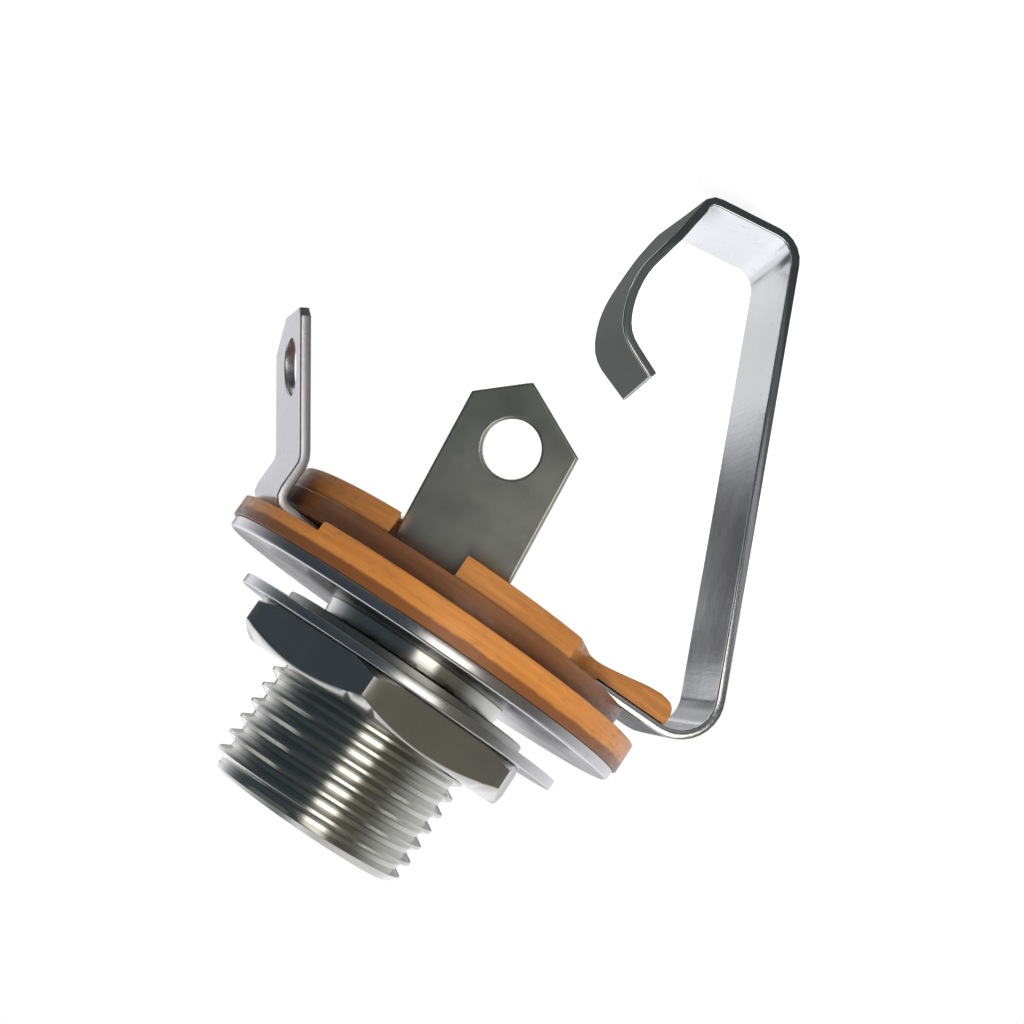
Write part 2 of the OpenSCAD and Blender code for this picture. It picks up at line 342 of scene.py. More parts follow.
MAT = {
    "barrel": plated("barrel_plate", (0.66, 0.66, 0.63), 0.15),
    "plate": plated("front_plate_metal", (0.68, 0.67, 0.69), 0.18),
    "washer": plated("washer_metal", (0.66, 0.66, 0.67), 0.18),
    "lock": plated("lock_washer_metal", (0.45, 0.45, 0.43), 0.30),
    "nut": plated("nut_metal", (0.64, 0.63, 0.61), 0.18),
    "spring": plated("spring_metal", (0.70, 0.71, 0.73), 0.10),
    "tip_lug": plated("tip_lug_metal", (0.60, 0.59, 0.54), 0.28, spots=0.10, scratch=0.1, mottle=0.04),
    "ground_lug": plated("ground_lug_metal", (0.62, 0.61, 0.64), 0.24),
    # the front disc's edge gets a band of painted shade next to the plate
    "front_ins": phenolic("front_insulator_phenolic", (0.49, 0.19, 0.034), (0.37, 0.13, 0.020),
                          (0.10, 0.04, 0.012), shade_band=(0.45, 0.92, (0.12, 0.038, 0.008), 0.9)),
    # painted shade: the middle disc is coloured much darker than the other discs so that its edge looks
    # shaded
    "mid_ins": phenolic("middle_insulator_phenolic", (0.185, 0.070, 0.020), (0.13, 0.047, 0.014),
                        (0.055, 0.02, 0.008)),
    "rear_ins": phenolic("rear_insulator_phenolic", (0.42, 0.165, 0.030), (0.29, 0.105, 0.018),
                         (0.10, 0.04, 0.012)),
    "tube": phenolic("tube_paper", (0.60, 0.42, 0.22), (0.50, 0.33, 0.17), (0.30, 0.18, 0.09)),
}


# meshes
def add_piece(ob, body, slot, *nodes):
    """Ties a piece to its body and hides the solids of the nodes that it stands for; slot is not used."""
    if nodes:
        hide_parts(*nodes)
    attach(ob, body)


def finish_mesh(bm, name, mat, angle=32.0, merge=WELD):
    """Welds, orients and smooths a bmesh in metres, with sharp edges above an angle."""
    bmesh.ops.remove_doubles(bm, verts=bm.verts, dist=merge)
    bmesh.ops.dissolve_degenerate(bm, dist=SLIVER, edges=bm.edges)
    bmesh.ops.recalc_face_normals(bm, faces=bm.faces)
    for f in bm.faces:
        f.smooth = True
    limit = rad(angle)
    for e in bm.edges:
        e.smooth = len(e.link_faces) == 2 and e.calc_face_angle(0.0) < limit
    mesh = bpy.data.meshes.new(name)
    bm.to_mesh(mesh)
    bm.free()
    ob = bpy.data.objects.new(name, mesh)
    bpy.context.scene.collection.objects.link(ob)
    mesh.materials.append(mat)
    return ob


def round_corners(profile, steps):
    """Rounds each corner of a closed profile [(r, z, radius)], over less than half of either side."""
    most = 0.45
    out = []
    n = len(profile)
    for i in range(n):
        p, own = Vector(profile[i][:2]), profile[i][2]
        a = Vector(profile[i - 1][:2]) - p
        b = Vector(profile[(i + 1) % n][:2]) - p
        if own <= 0:
            out.append(tuple(p))
            continue
        t = min(own / math.tan(a.angle(b) / 2), a.length * most, b.length * most)
        p0, p1 = p + a.normalized() * t, p + b.normalized() * t
        for k in range(steps + 1):
            s = k / steps
            out.append(tuple(p0 * (1 - s) ** 2 + p * 2 * s * (1 - s) + p1 * s * s))
    return out


def turned(r, deg, z):
    """A point in metres from a radius, an angle and a height in mm."""
    return (r * math.cos(rad(deg)) * MM, r * math.sin(rad(deg)) * MM, z * MM)


def skin(bm, columns):
    """Faces between neighbouring columns of points, all round."""
    cols = [[bm.verts.new(p) for p in col] for col in columns]
    for a, b in zip(cols, cols[1:] + cols[:1]):
        for k in range(len(a)):
            n = (k + 1) % len(a)
            bm.faces.new((a[k], b[k], b[n], a[n]))


def lathe(name, profile, mat, segments):
    """Revolves a closed (r, z) profile in mm round Z."""
    bm = bmesh.new()
    skin(bm, [[turned(r, 360.0 * i / segments, z) for r, z in profile] for i in range(segments)])
    return finish_mesh(bm, name, mat)


def arc(cx, cy, r, a0, a1, step):
    """Points on an arc, both ends included, angles in degrees."""
    n = max(2, int(math.ceil(abs(a1 - a0) / step)))
    angles = [rad(a0 + (a1 - a0) * k / n) for k in range(n + 1)]
    return [(cx + r * math.cos(a), cy + r * math.sin(a)) for a in angles]


def circle(r, cx=0.0, cy=0.0, step=5.0):
    return arc(cx, cy, r, 0, 360, step)[:-1]


def rot2(loop, az):
    """A loop turned about the origin by az degrees."""
    c, s = math.cos(rad(az)), math.sin(rad(az))
    return [(x * c - y * s, x * s + y * c) for x, y in loop]


def rectangle(x0, x1, y0, y1):
    return [(x0, y0), (x1, y0), (x1, y1), (x0, y1)]


def resample(loop, step):
    """Splits long edges of a closed loop so that no edge is longer than step."""
    shortest = 1e-4
    out = []
    for a, b in zip(loop, loop[1:] + loop[:1]):
        d = math.dist(a, b)
        if d < shortest:
            continue
        k = max(1, int(math.ceil(d / step)))
        out += [(a[0] + (b[0] - a[0]) * j / k, a[1] + (b[1] - a[1]) * j / k) for j in range(k)]
    return out


def inset(loop, amount):
    """Moves each point of a closed loop to its left by amount, inwards for a counterclockwise loop."""
    least_cosine = 0.45
    n = len(loop)
    out = []
    for i in range(n):
        p, a, b = Vector(loop[i]), Vector(loop[i - 1]), Vector(loop[(i + 1) % n])
        d0, d1 = (p - a).normalized(), (b - p).normalized()
        n0, n1 = Vector((-d0.y, d0.x)), Vector((-d1.y, d1.x))
        m = n0 + n1
        if m.length < 1e-6:
            m = n0
        m.normalize()
        out.append(tuple(p + m * amount / max(least_cosine, m.dot(n0))))
    return out


def inside(p, outline, holes=()):
    """Whether a point lies inside an outline and in none of its holes."""
    x, y = p
    hit = False
    for (x0, y0), (x1, y1) in zip(outline, outline[1:] + outline[:1]):
        if (y0 > y) != (y1 > y) and x < (x1 - x0) * (y - y0) / (y1 - y0) + x0:
            hit = not hit
    return hit and not any(inside(p, hole) for hole in holes)


def loop_area(loop):
    """Area of a loop, negative if it runs clockwise."""
    return sum(a[0] * b[1] - b[0] * a[1] for a, b in zip(loop, loop[1:] + loop[:1])) / 2


def loop_edges(base, count):
    """The edges of a closed loop of count points, the first of which has the index base."""
    return [(base + i, base + (i + 1) % count) for i in range(count)]


def middle(points, face):
    """The middle of a face, given as indices into a list of points."""
    return tuple(sum((Vector(points[i]) for i in face), Vector((0, 0))) / len(face))


def region(loops, keep):
    """The part of the plane for which keep(point) holds, cut along the loops. Returns its borders,
    the largest first, each outline counterclockwise and each hole clockwise."""
    pts, edges = [], []
    for loop in loops:
        edges += loop_edges(len(pts), len(loop))
        pts += [Vector(p) for p in loop]
    out, _, faces = delaunay_2d_cdt(pts, edges, [], 0, 1e-5)[:3]
    sides = set()
    for f in faces:
        if keep(middle(out, f)):
            order = list(f) if loop_area([tuple(out[i]) for i in f]) > 0 else list(f)[::-1]
            sides |= set(zip(order, order[1:] + order[:1]))
    nexts = {}
    for a, b in sorted(sides):
        if (b, a) not in sides:
            nexts.setdefault(a, []).append(b)
    borders = []
    while any(nexts.values()):
        at = next(a for a in nexts if nexts[a])
        walk = []
        while nexts.get(at):
            walk.append(tuple(out[at]))
            at = nexts[at].pop()
        borders.append(walk)
    return sorted(borders, key=loop_area, reverse=True)


def edge_profile(edge, thick):
    """Steps over the edge of a sheet from its +w face to its -w face, as (inset, w)."""
    flat_border = 0.05
    profile = []
    for e, sign in zip(edge, (1, -1)):
        part = [(0.0, sign * thick / 2)]
        if e > 0:
            # a narrow flat border next to the rounding keeps the shading of the flat face even
            part = [(e + flat_border, sign * thick / 2)]
            for a in (0, 30, 60, 90):
                part.append((e * (1 - math.sin(rad(a))), sign * (thick / 2 - e * (1 - math.cos(rad(a))))))
        profile += part if sign > 0 else part[::-1]
    return profile


def grid_points(outline, cuts, grid):
    """Points over the box round an outline: a row at each cut, and rows about grid mm apart between."""
    us = [p[0] for p in outline]
    vs = [p[1] for p in outline]
    rows = sorted(set(round(c, 4) for c in cuts))
    u = min(us)
    while u < max(us):
        if all(abs(u - c) > grid * 0.4 for c in rows):
            rows.append(u)
        u += grid
    count = max(2, int((max(vs) - min(vs)) / grid))
    return [(u, min(vs) + (max(vs) - min(vs)) * k / count) for u in rows for k in range(count + 1)]


def fill_face(bm, place, w, flat, points, gap):
    """Fills one face of a sheet. flat holds its outline and holes, each as a loop with its row of
    vertices, and the points that are further than gap from all of these become vertices too."""
    outline, holes = flat[0][0], [loop for loop, _ in flat[1:]]
    pts, edges, verts = [], [], []
    for loop, row in flat:
        edges += loop_edges(len(pts), len(loop))
        pts += [Vector(p) for p in loop]
        verts += row
    border = list(pts)
    for p in points:
        if inside(p, outline, holes) and min((Vector(p) - q).length for q in border) > gap:
            pts.append(Vector(p))
            verts.append(bm.verts.new(Vector(place(*p, w)) * MM))
    out, _, faces, sources = delaunay_2d_cdt(pts, edges, [], 0, 1e-6)[:4]
    back = []
    for p, source in zip(out, sources):
        back.append(verts[source[0]] if source else bm.verts.new(Vector(place(*p, w)) * MM))
    for f in faces:
        corners = [back[i] for i in f]
        whole = inside(middle(out, f), outline, holes) and len(set(corners)) == len(f)
        if whole and not bm.faces.get(corners):
            bm.faces.new(corners)


def sheet(name, loops, thick, place, mat, edge, step, grid, angle=32.0, cuts=()):
    """A sheet part: loops[0] is its outline, the rest its holes, in mm in the flat.
    place(u, v, w) gives the point in mm for w across the thickness from -thick/2 to thick/2.
    edge holds the rounding at the +w and the -w face; cuts are u values that get a row of points."""
    borders = []
    for k, loop in enumerate(loops):
        loop = resample(loop, step)
        if (loop_area(loop) < 0) == (k == 0):
            loop.reverse()
        borders.append(loop)
    profile = edge_profile(edge, thick)
    bm = bmesh.new()
    upper, lower = [], []
    for loop in borders:
        rows = []
        for off, w in profile:
            rows.append([bm.verts.new(Vector(place(u, v, w)) * MM) for u, v in inset(loop, off)])
        for a, b in zip(rows, rows[1:]):
            for i, j in loop_edges(0, len(loop)):
                bm.faces.new((a[i], a[j], b[j], b[i]))
        upper.append((inset(loop, profile[0][0]), rows[0]))
        lower.append((inset(loop, profile[-1][0]), rows[-1]))
    points = grid_points(borders[0], cuts, grid)
    fill_face(bm, place, thick / 2, upper, points, grid * 0.3)
    fill_face(bm, place, -thick / 2, lower, points, grid * 0.3)
    return finish_mesh(bm, name, mat, angle, SLIVER)


class Path:
    """The middle line of a bent strip in the plane of r and depth.
    Each step is (length, 0, 0) for a straight or (0, radius, turn) for a bend."""

    def __init__(self, start, steps):
        self.parts = []
        self.start = start[0]
        p, h, s = Vector(start), 0.0, 0.0
        for length, radius, turn in steps:
            span = radius * abs(rad(turn)) if radius else length
            self.parts.append((s, s + span, p.copy(), h, radius, turn))
            p, h = self.on(self.parts[-1], s + span)
            s += span
        self.length = s

    def on(self, part, s):
        """Point and heading at a distance on one part; a straight one runs on past its end."""
        s0, s1, p, h, radius, turn = part
        if radius == 0 or s < s0:
            return p + Vector((math.cos(rad(h)), math.sin(rad(h)))) * (s - s0), h
        h2 = h + turn * min(1.0, (s - s0) / (s1 - s0))
        bend = math.copysign(radius, turn)
        aside = Vector((math.sin(rad(h2)) - math.sin(rad(h)), math.cos(rad(h)) - math.cos(rad(h2))))
        return p + aside * bend, h2

    def at(self, s):
        """Point and heading at a distance along the whole line."""
        reached = [part for part in self.parts if s >= part[0]]
        return self.on(reached[-1] if reached else self.parts[0], s)

    def cuts(self, per):
        """Distances that need a row of points: the ends of each bend, and steps of about per degrees."""
        out = []
        for s0, s1, _, _, radius, turn in self.parts:
            n = max(3, int(abs(turn) / per)) if radius else 1
            out += [self.start + s0 + (s1 - s0) * k / n for k in range(n + 1)]
        return out


def along(path, az):
    """place() for sheet(): u runs along the path, v across it, w off its middle, towards the mouth."""
    c, s = math.cos(rad(az)), math.sin(rad(az))

    def place(u, v, w):
        p, h = path.at(u - path.start)
        r, depth = p.x + math.sin(rad(h)) * w, p.y - math.cos(rad(h)) * w
        return (r * c - v * s, r * s + v * c, -depth)

    return place


def flat_place(depth_mid):
    """place() for a sheet that lies flat at a depth: u and v are x and y."""
    def place(u, v, w):
        return (u, v, -depth_mid + w)
    return place


# barrel
def thread_turn(crest, root):
    """One turn of the thread from crest to crest, as (share of the pitch, radius)."""
    crest_flat, root_flat, soften = 0.16, 0.24, 0.04
    slope = (1 - crest_flat - root_flat) / 2
    low, high = root + soften, crest - soften
    return [(0.0, crest), (crest_flat, crest), (crest_flat + slope * 0.12, high),
            (crest_flat + slope * 0.88, low), (crest_flat + slope, root), (1 - slope, root),
            (1 - slope * 0.88, low), (1 - slope * 0.12, high)]


def make_bushing():
    """The turned body with a right-handed helix for its thread."""
    segments = 144
    crest, root = BARREL_R, BARREL_R - THREAD_DEPTH
    z0, z1 = 0.7, BARREL_LEN - 0.02
    bevel_z, bevel_slope = BARREL_LEN - 0.5, 0.95

    def envelope(z):
        """The most that the radius may be: the thread rises from the neck and is bevelled at the mouth."""
        return min(crest, crest - max(0.0, z - bevel_z) * bevel_slope, NECK_R + max(0.0, z - z0))

    marks = thread_turn(crest, root)
    turns = int(math.ceil((z1 - z0) / PITCH)) + 2
    shape = [(z0 + (t + m) * PITCH, r) for t in range(-1, turns) for m, r in marks]
    bm = bmesh.new()
    grid = []
    for i in range(segments):
        col = []
        for z, r in shape:
            z = min(max(z + PITCH * i / segments, z0), z1)
            col.append(bm.verts.new(turned(min(r, envelope(z)), 360.0 * i / segments, z)))
        grid.append(col)
    for i in range(segments):
        # the last column meets the first one a turn further on
        j = (i + 1) % segments
        shift = len(marks) if j == 0 else 0
        for k in range(len(shape) - 1 - shift):
            bm.faces.new((grid[i][k], grid[j][k + shift], grid[j][k + shift + 1], grid[i][k + 1]))
    bmesh.ops.remove_doubles(bm, verts=bm.verts, dist=THREAD_WELD)
    bmesh.ops.dissolve_degenerate(bm, dist=SLIVER, edges=bm.edges)
    # the rest of the turned body: the mouth, the bore, the rear rim, the hub and the neck
    rim_z = -D_TOP - RIM_T
    mouth = [(min(root, envelope(z1)), z1), (min(root, envelope(z1)) - 0.06, BARREL_LEN),
             (BORE_R + 0.45, BARREL_LEN), (BORE_R + 0.38, BARREL_LEN - 0.05),
             (BORE_R + 0.04, BARREL_LEN - 0.42), (BORE_R, BARREL_LEN - 0.5)]
    bore = [(BORE_R, 4.0), (BORE_R, -1.0), (BORE_R, rim_z + 0.15), (BORE_R + 0.04, rim_z + 0.05),
            (BORE_R + 0.15, rim_z)]
    rim = [(RIM_R - 0.3, rim_z), (RIM_R - 0.12, rim_z + 0.04), (RIM_R - 0.03, rim_z + 0.13),
           (RIM_R, rim_z + 0.24), (RIM_R, -D_TOP)]
    hub = [(HUB_R, -D_TOP), (HUB_R, 0.0)]
    neck = [(NECK_R - 0.05, 0.0), (NECK_R, 0.05), (min(root, envelope(z0)), z0)]
    rings = []
    for r, z in mouth + bore + rim + hub + neck:
        rings.append([bm.verts.new(turned(r, 360.0 * i / segments, z)) for i in range(segments)])
    for a, b in zip(rings, rings[1:]):
        for i, j in loop_edges(0, segments):
            bm.faces.new((a[i], a[j], b[j], b[i]))
    ob = finish_mesh(bm, "threaded_bushing", MAT["barrel"], 26.0, FINE_WELD)
    add_piece(ob, "frame", "plated_barrel", "bushing")


make_bushing()


# nut and washers
def make_nut():
    """Hexagon nut with the curved edges that its chamfer leaves on the flats."""
    segments = 144
    z_lo, z_hi = NUT_Z, NUT_Z + NUT_T
    apothem = NUT_AF / 2 - 0.02
    corner_r = apothem / math.cos(rad(30)) - 0.06
    hole = BARREL_R + 0.04
    # radii at which the chamfers of the front and the back face start
    r_top, r_bot = apothem - 0.12, apothem + 0.42
    columns = []
    for i in range(segments):
        a = 360.0 * i / segments
        # distance of the hexagon from the axis, with a small radius on its six corners
        hexr = min(apothem / math.cos(rad(a % 60.0 - 30.0)), corner_r)
        z_top = z_hi - max(0.0, hexr - r_top) * math.tan(rad(30))
        z_bot = z_lo + max(0.0, hexr - r_bot) * math.tan(rad(28))
        front = [(hole + 0.33, z_hi), (hole + 0.42, z_hi), (r_top - 0.05, z_hi), (r_top + 0.03, z_hi - 0.02)]
        side = [(hexr - 0.04, z_top + 0.01), (hexr, z_top - 0.05), (hexr, (z_top + z_bot) / 2),
                (hexr, z_bot + 0.04), (hexr - 0.04, z_bot)]
        rear = [(min(r_bot, hexr - 0.06), z_lo), (hole + 0.36, z_lo), (hole + 0.28, z_lo + 0.05)]
        inner = [(hole + 0.02, z_lo + 0.3), (hole, z_lo + 0.36), (hole, z_hi - 0.36),
                 (hole + 0.02, z_hi - 0.3), (hole + 0.28, z_hi - 0.04)]
        columns.append([turned(r, a + NUT_TURN - 90.0, z) for r, z in front + side + rear + inner])
    bm = bmesh.new()
    skin(bm, columns)
    ob = finish_mesh(bm, "hexagon_nut", MAT["nut"], 28.0, FINE_WELD)
    add_piece(ob, "nut", "plated_barrel", "hex_nut")


make_nut()


def make_flat_washer():
    z = WASHER_Z
    profile = round_corners([(WASHER_HOLE_R, z, 0.04), (WASHER_R, z, 0.06), (WASHER_R, z + WASHER_T, 0.1),
                             (WASHER_HOLE_R, z + WASHER_T, 0.12)], 4)
    ob = lathe("punched_washer", profile, MAT["washer"], 160)
    add_piece(ob, "washers", "plated_steel", "flat_washer")


make_flat_washer()


def make_lock_washer():
    """Ring with inner teeth, each twisted a little out of the plane."""
    segments = 360
    outer_r, gap_r, tooth_r = LOCK_R - 0.02, 5.42, WASHER_HOLE_R + 0.02
    half_gap, twist = 0.16, 0.32
    z0, z1 = LOCK_Z, LOCK_Z + LOCK_T
    step = 360.0 / LOCK_TEETH
    columns = []
    for i in range(segments):
        a = 360.0 * i / segments
        t = (a % step) / step
        # the gaps between the teeth lie round the start of each step
        in_tooth = half_gap <= t <= 1 - half_gap
        inner = tooth_r if in_tooth else gap_r
        lift = min(0.0, (t - 0.5) * twist) if in_tooth else 0.0
        profile = [(inner, z0 - lift), (gap_r + 0.1, z0), (outer_r - 0.05, z0), (outer_r, z0 + 0.05),
                   (outer_r, z1 - 0.05), (outer_r - 0.05, z1), (gap_r + 0.1, z1), (inner, z1 - lift * 0.2)]
        columns.append([turned(r, a, z) for r, z in profile])
    bm = bmesh.new()
    skin(bm, columns)
    ob = finish_mesh(bm, "toothed_lock_washer", MAT["lock"], 30.0, FINE_WELD)
    add_piece(ob, "washers", "plated_steel", "lock_washer")


make_lock_washer()


# front plate and insulators
def make_front_plate():
    hole_r = HUB_R + FIT
    profile = round_corners([(hole_r, -PLATE_T, 0.0), (PLATE_R, -PLATE_T, 0.05), (PLATE_R, 0.0, 0.2),
                             (hole_r, 0.0, 0.0)], 5)
    ob = lathe("front_plate_disc", profile, MAT["plate"], 192)
    add_piece(ob, "frame", "plated_steel", "front_plate")


make_front_plate()


def layer(name, loops, top, bottom, mat, edge):
    """A flat layer between two depths, the smaller one first."""
    return sheet(name, loops, bottom - top, flat_place((top + bottom) / 2), mat, edge, step=0.4, grid=1.2)


def make_front_insulator():
    """A ring under the plate, and behind it the part that is recessed for the ground terminal."""
    seat = TERM_RING_R + FIT
    half_gap = math.degrees(math.asin(seat / FRONT_R))
    rim = arc(0, 0, FRONT_R, half_gap, 360 - half_gap, 2.5) + arc(0, 0, seat, 270, 90, 4.0)
    low = layer("front_disc_lower", [circle(FRONT_R, step=2.5), circle(HUB_R + 2 * FIT)], D_FRONT, D_GROUND,
                MAT["front_ins"], (0.05, 0.0))
    high = layer("front_disc_upper", [rot2(rim, GROUND_AZ)], D_GROUND, D_MID, MAT["front_ins"], (0.0, 0.08))
    add_piece(low, "frame", "phenolic", "front_insulator")
    add_piece(high, "frame", "phenolic")


make_front_insulator()


def make_middle_insulator():
    """A ring, and behind it the part that is recessed for the tip terminal."""
    seat = TERM_RING_R + FIT
    slot_end, slot_half = 7.1, LUG_W / 2 + FIT
    slot = rot2(rectangle(0, slot_end, -slot_half, slot_half), TIP_AZ)
    outline = circle(MID_R, step=2.5)
    shape = region([outline, circle(seat, step=4.0), slot],
                   lambda p: inside(p, outline, [slot]) and math.hypot(*p) > seat)
    low = layer("middle_disc_lower", [outline, circle(TUBE_R + FIT)], D_MID, D_TIP, MAT["mid_ins"],
                (0.05, 0.0))
    high = layer("middle_disc_upper", shape, D_TIP, D_REAR, MAT["mid_ins"], (0.0, 0.05))
    # dark_phenolic carries the darker colour that paints shade on this disc
    add_piece(low, "frame", "dark_phenolic", "middle_insulator")
    add_piece(high, "frame", "dark_phenolic")


make_middle_insulator()


# height of the tongue of the rear insulator along the spring, as (radius, depth)
TONGUE = [(5.3, 3.85), (6.3, 3.88), (6.95, 3.96), (7.8, 4.11), (8.65, 4.27), (9.3, 4.32), (9.8, 4.25),
          (10.03, 4.06), (10.12, 3.8)]
TONGUE_END = TONGUE[-1][0]
TONGUE_HALF = SPRING_W / 2 - 0.05
TONGUE_LOW = D_SPRING + SPRING_T + 0.05
# the shoulder cut from either side of the disc: its curve, and the straight side that runs into it
SHOULDER_R = 1.6
SHOULDER_X = 7.16
CUT_START = (3.4, 10.4)
CUT_END = (5.65, 4.1)
CUT_FAR = 12
# the notch that opens the window of the tip lug to the rim, in x and y
NOTCH = (0.5, 3.6, -12, -5.8)


def rear_shapes():
    """Outlines of the two layers of the rear insulator, with u along the tongue."""
    disc = circle(REAR_R, step=3.0)
    curve = arc(SHOULDER_X, TONGUE_HALF + SHOULDER_R, SHOULDER_R, 205, 270, 9.0)
    cut = [CUT_START, CUT_END] + curve + [(CUT_FAR, TONGUE_HALF), (CUT_FAR, CUT_START[1])]
    cuts = [cut, [(u, -v) for u, v in cut[::-1]]]
    tongue = rectangle(5.0, TONGUE_END, -TONGUE_HALF, TONGUE_HALF)
    window_near, window_far, window_half = 5.7, 7.45, LUG_W / 2 + 0.1
    window = rot2(rectangle(window_near, window_far, -window_half, window_half), TIP_AZ - SPRING_AZ)
    notch = rot2(rectangle(*NOTCH), -SPRING_AZ)
    hole = circle(TUBE_R + FIT)
    seat = circle(SPRING_RING_R + FIT)
    slot = rectangle(0, 14, -SPRING_W / 2 - FIT, SPRING_W / 2 + FIT)

    def solid(p, *holes):
        """Whether a point is in the disc or the tongue, and in neither opening for the lug nor the holes."""
        body = inside(p, disc, cuts) or inside(p, tongue)
        return body and not any(inside(p, opening) for opening in (window, notch, *holes))

    high = region([disc, *cuts, tongue, window, notch, hole], lambda p: solid(p, hole))
    low = region([disc, *cuts, tongue, window, notch, seat, slot], lambda p: solid(p, seat, slot))
    return high, low


def tongue_depth(u, v):
    """Depth of the rear face: flat on the disc, swelling along the tongue, with a soft foot at its sides."""
    if u <= TONGUE[0][0]:
        return D_TOP
    depth = TONGUE[-1][1]
    for (r0, d0), (r1, d1) in zip(TONGUE, TONGUE[1:]):
        if r0 <= u <= r1:
            depth = d0 + (d1 - d0) * (u - r0) / (r1 - r0)
            break
    foot_start, foot_width = TONGUE_HALF - 0.1, 0.6
    k = min(1.0, max(0.0, (abs(v) - foot_start) / foot_width))
    return D_TOP + (depth - D_TOP) * (1 - k * k * (3 - 2 * k))


def make_rear_insulator():
    """A layer with the tongue, and in front of it the part that is recessed for the spring."""
    high, low = rear_shapes()
    c, s = math.cos(rad(SPRING_AZ)), math.sin(rad(SPRING_AZ))
    thick = D_TOP - TONGUE_LOW

    def rear_place(u, v, w):
        k = 0.5 - w / thick
        return (u * c - v * s, u * s + v * c, -TONGUE_LOW - (tongue_depth(u, v) - TONGUE_LOW) * k)

    def seat_place(u, v, w):
        return (u * c - v * s, u * s + v * c, w - (D_REAR + TONGUE_LOW) / 2)

    ob = sheet("rear_disc_with_tongue", high, thick, rear_place, MAT["rear_ins"], (0.0, 0.07),
               step=0.3, grid=0.6, angle=38.0, cuts=[r for r, _ in TONGUE])
    add_piece(ob, "frame", "phenolic", "rear_insulator")
    seat = sheet("rear_disc_seat", low, TONGUE_LOW - D_REAR, seat_place, MAT["rear_ins"], (0.05, 0.0),
                 step=0.4, grid=1.2)
    add_piece(seat, "frame", "phenolic")


make_rear_insulator()


# terminals
def ring_outline(ring_r, half):
    """Outline of a ring from the left side of a tab along +u round to its right side."""
    a = math.degrees(math.asin(half / ring_r))
    return arc(0, 0, ring_r, a, 360 - a, 4.0)


def make_terminal(name, node, az, depth, hole_r, steps, end, hole, skew, mat):
    """A ring with a bent tab. steps are the bends of its path; end and hole are (u, v) from where
    these steps end, and the tab leans by skew."""
    tab_reach = 9.0
    path = Path((STRIP_START, depth), steps + [(tab_reach, 0, 0)])
    foot = STRIP_START + path.parts[-1][0]
    half = LUG_W / 2

    def leant(u, v):
        return (foot + u, v + u * math.tan(rad(skew)))

    tail = [leant(u, v) for u, v in [(0, -half), *end, (0, half)]]
    wire_hole = circle(LUG_HOLE_R, *leant(*hole), step=10.0)
    loops = [ring_outline(TERM_RING_R, half) + tail, circle(hole_r), wire_hole]
    ob = sheet(name, loops, TERM_T, along(path, az), mat, (0.07, 0.07), step=0.3, grid=0.55,
               cuts=path.cuts(9.0))
    add_piece(ob, "frame", "tinned_lug", node)


def make_tip_terminal():
    """The point of this lug is off its middle and slightly rounded."""
    point = TIP_LEN + LUG_POINT
    make_terminal("tip_solder_terminal", "tip_terminal", TIP_AZ, D_TIP + TERM_T / 2, TUBE_R + FIT,
                  [(TIP_FOOT_R - LUG_BEND_R - STRIP_START, 0, 0), (0, LUG_BEND_R, 90 - TIP_LEAN),
                   (0.4, 0, 0)],
                  [(TIP_LEN, -LUG_W / 2), (point - 0.1, 0.3), (point, 0.5), (point - 0.12, 0.68),
                   (TIP_LEN, LUG_W / 2)],
                  (TIP_LEN - 1.1, 0.0), TIP_SKEW, MAT["tip_lug"])


def make_ground_terminal():
    """This lug is cut off aslant, from a blunt corner down to its shorter side."""
    make_terminal("ground_solder_terminal", "ground_terminal", GROUND_AZ, D_GROUND + TERM_T / 2,
                  HUB_R + 2 * FIT,
                  [(GROUND_FOOT_R - LUG_BEND_R - STRIP_START, 0, 0), (0, LUG_BEND_R, 90), (1.1, 0, 0),
                   (0, 1.0, -GROUND_LEAN), (0.4, 0, 0)],
                  [(GROUND_LEN - 0.35, -LUG_W / 2), (GROUND_LEN, -2.2), (GROUND_LEN - 0.25, 0.4),
                   (GROUND_LEN - LUG_POINT - 0.2, LUG_W / 2)],
                  (GROUND_LEN - 2.35, -0.5), 0.0, MAT["ground_lug"])


make_tip_terminal()
make_ground_terminal()


# tip spring
# its bends after the ring, as steps of a path
SPRING_STEPS = [(5.0, 0, 0), (0, 1.75, 113.6), (ARM_LEN, 0, 0), (0, 1.3, 76), (3.05, 0, 0), (0, 0.6, 70.4),
                (0, 21, 10), (0, 5, 28), (0, 1.8, 40), (1.5, 0, 0)]
# the hook is bent a little askew: (mm along the strip, mm outwards, degrees of twist) from its corner on
HOOK = [(37.5, 0.0, 0.0), (38.4, 0.0, 4.6), (40.0, 0.0, 4.6), (41.2, 0.06, 2.6), (42.0, 0.12, 1.0),
        (43.5, 0.18, 0.4), (45.0, 0.20, 0.0), (47.2, 0.15, -1.5)]
# where the strip stops riding on the frame and where it rides on the spring alone; make_spring turns these
# into points but does not use them
BLEND_R = 10.0
BLEND_START_Z = -3.3
BLEND_END_Z = -6.0


def askew(place):
    """place() with the strip lifted and twisted about its middle line as HOOK says."""
    def moved(u, v, w):
        if u > HOOK[0][0]:
            for (u0, out0, twist0), (u1, out1, twist1) in zip(HOOK, HOOK[1:]):
                if u <= u1 or u1 == HOOK[-1][0]:
                    t = (u - u0) / (u1 - u0)
                    w += out0 + (out1 - out0) * t - v * math.sin(rad(twist0 + (twist1 - twist0) * t))
                    break
        return place(u, v, w)

    return moved


